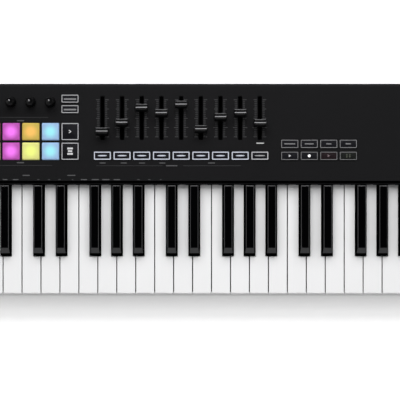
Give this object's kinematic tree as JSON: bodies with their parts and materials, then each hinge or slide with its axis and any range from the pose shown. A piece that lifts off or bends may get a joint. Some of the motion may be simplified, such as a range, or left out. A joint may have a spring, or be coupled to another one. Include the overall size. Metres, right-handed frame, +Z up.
{
  "type": "midi keyboard",
  "caption": "Desktop controller keyboard with hinged piano keys, backlit pads, rotary knobs, sliding faders, lit buttons, two wheels and rear sockets in a low two-part case.",
  "frame": {"origin": "centre of the footprint, on the surface that the feet stand on", "axes": "+X along the keys towards the treble end, +Y towards the rear wall, +Z up"},
  "size_m": [0.952, 0.26, 0.077],
  "materials": {
    "panel_plastic": "fine satin texture",
    "base_plastic": "fine texture",
    "foot_rubber": "matt",
    "screw_steel": "plain",
    "chassis_steel": "zinc plated",
    "rod_steel": "ground",
    "spring_steel": "plain",
    "felt": "felt",
    "circuit_board": "solder mask",
    "silicone": "translucent",
    "pot_steel": "plain",
    "display_panel": "unlit",
    "display_glass": "clear, smoked",
    "socket_metal": "tinned",
    "socket_plastic": "moulded",
    "cable_plastic": "flat cable",
    "wheel_rubber": "soft touch",
    "pad_silicone": "backlit silicone, a colour per pad",
    "button_plastic": "lit outline",
    "knob_plastic": "soft touch",
    "white_key_plastic": "polished",
    "black_key_plastic": "fine satin"
  },
  "bodies": {
    "case_body": {"top_case": "panel_plastic", "bottom_case": "base_plastic", "rubber_feet": "foot_rubber", "case_screws": "screw_steel", "key_chassis": "chassis_steel", "key_pivot_rod": "rod_steel", "key_springs": "spring_steel", "key_felts": "felt", "key_contact_board": "circuit_board", "key_contact_rubber": "silicone", "control_board": "circuit_board", "button_mat": "silicone", "fader_bodies": "pot_steel", "knob_pots": "pot_steel", "display_module": "display_panel", "display_window": "display_glass", "wheel_housing": "base_plastic", "io_board": "circuit_board", "usb_socket": "socket_metal", "midi_socket": "socket_plastic", "pedal_jack": "socket_plastic", "ribbon_cables": "cable_plastic"},
    "pitch_wheel": {"pitch_wheel": "wheel_rubber"},
    "mod_wheel": {"mod_wheel": "wheel_rubber"},
    "white_keys_cegb_1": {"white_keys_cegb_1": "white_key_plastic"},
    "white_keys_cegb_2": {"white_keys_cegb_2": "white_key_plastic"},
    "white_keys_cegb_3": {"white_keys_cegb_3": "white_key_plastic"},
    "white_keys_cegb_4": {"white_keys_cegb_4": "white_key_plastic"},
    "white_keys_cegb_5": {"white_keys_cegb_5": "white_key_plastic"},
    "white_keys_dfa_1": {"white_keys_dfa_1": "white_key_plastic"},
    "white_keys_dfa_2": {"white_keys_dfa_2": "white_key_plastic"},
    "white_keys_dfa_3": {"white_keys_dfa_3": "white_key_plastic"},
    "white_keys_dfa_4": {"white_keys_dfa_4": "white_key_plastic"},
    "white_keys_dfa_5": {"white_keys_dfa_5": "white_key_plastic"},
    "black_keys_1": {"black_keys_1": "black_key_plastic"},
    "black_keys_2": {"black_keys_2": "black_key_plastic"},
    "black_keys_3": {"black_keys_3": "black_key_plastic"},
    "black_keys_4": {"black_keys_4": "black_key_plastic"},
    "black_keys_5": {"black_keys_5": "black_key_plastic"},
    "pads": {"pads": "pad_silicone"},
    "fader_buttons": {"fader_buttons": "button_plastic"},
    "transport_buttons": {"transport_buttons": "button_plastic"},
    "function_buttons": {"function_buttons": "button_plastic"},
    "knob_1": {"knob_1": "knob_plastic"},
    "knob_2": {"knob_2": "knob_plastic"},
    "knob_3": {"knob_3": "knob_plastic"},
    "knob_4": {"knob_4": "knob_plastic"},
    "knob_5": {"knob_5": "knob_plastic"},
    "knob_6": {"knob_6": "knob_plastic"},
    "knob_7": {"knob_7": "knob_plastic"},
    "knob_8": {"knob_8": "knob_plastic"},
    "fader_1": {"fader_1": "knob_plastic"},
    "fader_2": {"fader_2": "knob_plastic"},
    "fader_3": {"fader_3": "knob_plastic"},
    "fader_4": {"fader_4": "knob_plastic"},
    "fader_5": {"fader_5": "knob_plastic"},
    "fader_6": {"fader_6": "knob_plastic"},
    "fader_7": {"fader_7": "knob_plastic"},
    "fader_8": {"fader_8": "knob_plastic"},
    "fader_9": {"fader_9": "knob_plastic"}
  },
  "joints": [
    {"name": "pitch_wheel_turn", "type": "hinge", "parent": "case_body", "child": "pitch_wheel", "pos_m": [-0.448, -0.06, 0.038], "axis": [1, 0, 0], "range_deg": [-30, 30], "stiffness_Nm_per_rad": 0.15},
    {"name": "mod_wheel_turn", "type": "hinge", "parent": "case_body", "child": "mod_wheel", "pos_m": [-0.412, -0.06, 0.038], "axis": [-1, 0, 0], "range_deg": [0, 70]},
    {"name": "white_keys_cegb_1_press", "type": "hinge", "parent": "case_body", "child": "white_keys_cegb_1", "pos_m": [0, 0.055, 0.04], "axis": [1, 0, 0], "range_deg": [0, 3.1], "stiffness_Nm_per_rad": 2.52, "springref_deg": -10.03},
    {"name": "white_keys_cegb_2_press", "type": "hinge", "parent": "case_body", "child": "white_keys_cegb_2", "pos_m": [0, 0.055, 0.04], "axis": [1, 0, 0], "range_deg": [0, 3.1], "stiffness_Nm_per_rad": 2.52, "springref_deg": -10.03},
    {"name": "white_keys_cegb_3_press", "type": "hinge", "parent": "case_body", "child": "white_keys_cegb_3", "pos_m": [0, 0.055, 0.04], "axis": [1, 0, 0], "range_deg": [0, 3.1], "stiffness_Nm_per_rad": 2.52, "springref_deg": -10.03},
    {"name": "white_keys_cegb_4_press", "type": "hinge", "parent": "case_body", "child": "white_keys_cegb_4", "pos_m": [0, 0.055, 0.04], "axis": [1, 0, 0], "range_deg": [0, 3.1], "stiffness_Nm_per_rad": 2.52, "springref_deg": -10.03},
    {"name": "white_keys_cegb_5_press", "type": "hinge", "parent": "case_body", "child": "white_keys_cegb_5", "pos_m": [0, 0.055, 0.04], "axis": [1, 0, 0], "range_deg": [0, 3.1], "stiffness_Nm_per_rad": 3.15, "springref_deg": -10.03},
    {"name": "white_keys_dfa_1_press", "type": "hinge", "parent": "case_body", "child": "white_keys_dfa_1", "pos_m": [0, 0.055, 0.04], "axis": [1, 0, 0], "range_deg": [0, 3.1], "stiffness_Nm_per_rad": 1.89, "springref_deg": -10.03},
    {"name": "white_keys_dfa_2_press", "type": "hinge", "parent": "case_body", "child": "white_keys_dfa_2", "pos_m": [0, 0.055, 0.04], "axis": [1, 0, 0], "range_deg": [0, 3.1], "stiffness_Nm_per_rad": 1.89, "springref_deg": -10.03},
    {"name": "white_keys_dfa_3_press", "type": "hinge", "parent": "case_body", "child": "white_keys_dfa_3", "pos_m": [0, 0.055, 0.04], "axis": [1, 0, 0], "range_deg": [0, 3.1], "stiffness_Nm_per_rad": 1.89, "springref_deg": -10.03},
    {"name": "white_keys_dfa_4_press", "type": "hinge", "parent": "case_body", "child": "white_keys_dfa_4", "pos_m": [0, 0.055, 0.04], "axis": [1, 0, 0], "range_deg": [0, 3.1], "stiffness_Nm_per_rad": 1.89, "springref_deg": -10.03},
    {"name": "white_keys_dfa_5_press", "type": "hinge", "parent": "case_body", "child": "white_keys_dfa_5", "pos_m": [0, 0.055, 0.04], "axis": [1, 0, 0], "range_deg": [0, 3.1], "stiffness_Nm_per_rad": 1.89, "springref_deg": -10.03},
    {"name": "black_keys_1_press", "type": "hinge", "parent": "case_body", "child": "black_keys_1", "pos_m": [0, 0.055, 0.04], "axis": [1, 0, 0], "range_deg": [0, 3.1], "stiffness_Nm_per_rad": 3.15, "springref_deg": -10.03},
    {"name": "black_keys_2_press", "type": "hinge", "parent": "case_body", "child": "black_keys_2", "pos_m": [0, 0.055, 0.04], "axis": [1, 0, 0], "range_deg": [0, 3.1], "stiffness_Nm_per_rad": 3.15, "springref_deg": -10.03},
    {"name": "black_keys_3_press", "type": "hinge", "parent": "case_body", "child": "black_keys_3", "pos_m": [0, 0.055, 0.04], "axis": [1, 0, 0], "range_deg": [0, 3.1], "stiffness_Nm_per_rad": 3.15, "springref_deg": -10.03},
    {"name": "black_keys_4_press", "type": "hinge", "parent": "case_body", "child": "black_keys_4", "pos_m": [0, 0.055, 0.04], "axis": [1, 0, 0], "range_deg": [0, 3.1], "stiffness_Nm_per_rad": 3.15, "springref_deg": -10.03},
    {"name": "black_keys_5_press", "type": "hinge", "parent": "case_body", "child": "black_keys_5", "pos_m": [0, 0.055, 0.04], "axis": [1, 0, 0], "range_deg": [0, 3.1], "stiffness_Nm_per_rad": 3.15, "springref_deg": -10.03},
    {"name": "pads_press", "type": "slide", "parent": "case_body", "child": "pads", "axis": [0, 0, -1], "range_m": [0, 0.001], "stiffness_N_per_m": 24000, "springref_m": -0.0005},
    {"name": "fader_buttons_press", "type": "slide", "parent": "case_body", "child": "fader_buttons", "axis": [0, 0, -1], "range_m": [0, 0.0012], "stiffness_N_per_m": 7200, "springref_m": -0.0008},
    {"name": "transport_buttons_press", "type": "slide", "parent": "case_body", "child": "transport_buttons", "axis": [0, 0, -1], "range_m": [0, 0.0012], "stiffness_N_per_m": 6400, "springref_m": -0.0008},
    {"name": "function_buttons_press", "type": "slide", "parent": "case_body", "child": "function_buttons", "axis": [0, 0, -1], "range_m": [0, 0.0012], "stiffness_N_per_m": 13600, "springref_m": -0.0008},
    {"name": "knob_1_turn", "type": "hinge", "parent": "case_body", "child": "knob_1", "pos_m": [-0.3535, 0.107, 0.063], "axis": [0, 0, -1], "range_deg": [-150, 150]},
    {"name": "knob_2_turn", "type": "hinge", "parent": "case_body", "child": "knob_2", "pos_m": [-0.3293, 0.107, 0.063], "axis": [0, 0, -1], "range_deg": [-150, 150]},
    {"name": "knob_3_turn", "type": "hinge", "parent": "case_body", "child": "knob_3", "pos_m": [-0.3051, 0.107, 0.063], "axis": [0, 0, -1], "range_deg": [-150, 150]},
    {"name": "knob_4_turn", "type": "hinge", "parent": "case_body", "child": "knob_4", "pos_m": [-0.2809, 0.107, 0.063], "axis": [0, 0, -1], "range_deg": [-150, 150]},
    {"name": "knob_5_turn", "type": "hinge", "parent": "case_body", "child": "knob_5", "pos_m": [-0.2567, 0.107, 0.063], "axis": [0, 0, -1], "range_deg": [-150, 150]},
    {"name": "knob_6_turn", "type": "hinge", "parent": "case_body", "child": "knob_6", "pos_m": [-0.2325, 0.107, 0.063], "axis": [0, 0, -1], "range_deg": [-150, 150]},
    {"name": "knob_7_turn", "type": "hinge", "parent": "case_body", "child": "knob_7", "pos_m": [-0.2083, 0.107, 0.063], "axis": [0, 0, -1], "range_deg": [-150, 150]},
    {"name": "knob_8_turn", "type": "hinge", "parent": "case_body", "child": "knob_8", "pos_m": [-0.1841, 0.107, 0.063], "axis": [0, 0, -1], "range_deg": [-150, 150]},
    {"name": "fader_1_slide", "type": "slide", "parent": "case_body", "child": "fader_1", "axis": [0, 1, 0], "range_m": [-0.0063, 0.0393]},
    {"name": "fader_2_slide", "type": "slide", "parent": "case_body", "child": "fader_2", "axis": [0, 1, 0], "range_m": [-0.0171, 0.0285]},
    {"name": "fader_3_slide", "type": "slide", "parent": "case_body", "child": "fader_3", "axis": [0, 1, 0], "range_m": [-0.0353, 0.0103]},
    {"name": "fader_4_slide", "type": "slide", "parent": "case_body", "child": "fader_4", "axis": [0, 1, 0], "range_m": [-0.0289, 0.0167]},
    {"name": "fader_5_slide", "type": "slide", "parent": "case_body", "child": "fader_5", "axis": [0, 1, 0], "range_m": [-0.0392, 0.0064]},
    {"name": "fader_6_slide", "type": "slide", "parent": "case_body", "child": "fader_6", "axis": [0, 1, 0], "range_m": [-0.0092, 0.0364]},
    {"name": "fader_7_slide", "type": "slide", "parent": "case_body", "child": "fader_7", "axis": [0, 1, 0], "range_m": [-0.024, 0.0216]},
    {"name": "fader_8_slide", "type": "slide", "parent": "case_body", "child": "fader_8", "axis": [0, 1, 0], "range_m": [-0.0289, 0.0167]},
    {"name": "fader_9_slide", "type": "slide", "parent": "case_body", "child": "fader_9", "axis": [0, 1, 0], "range_m": [-0.0166, 0.029]}
  ]
}
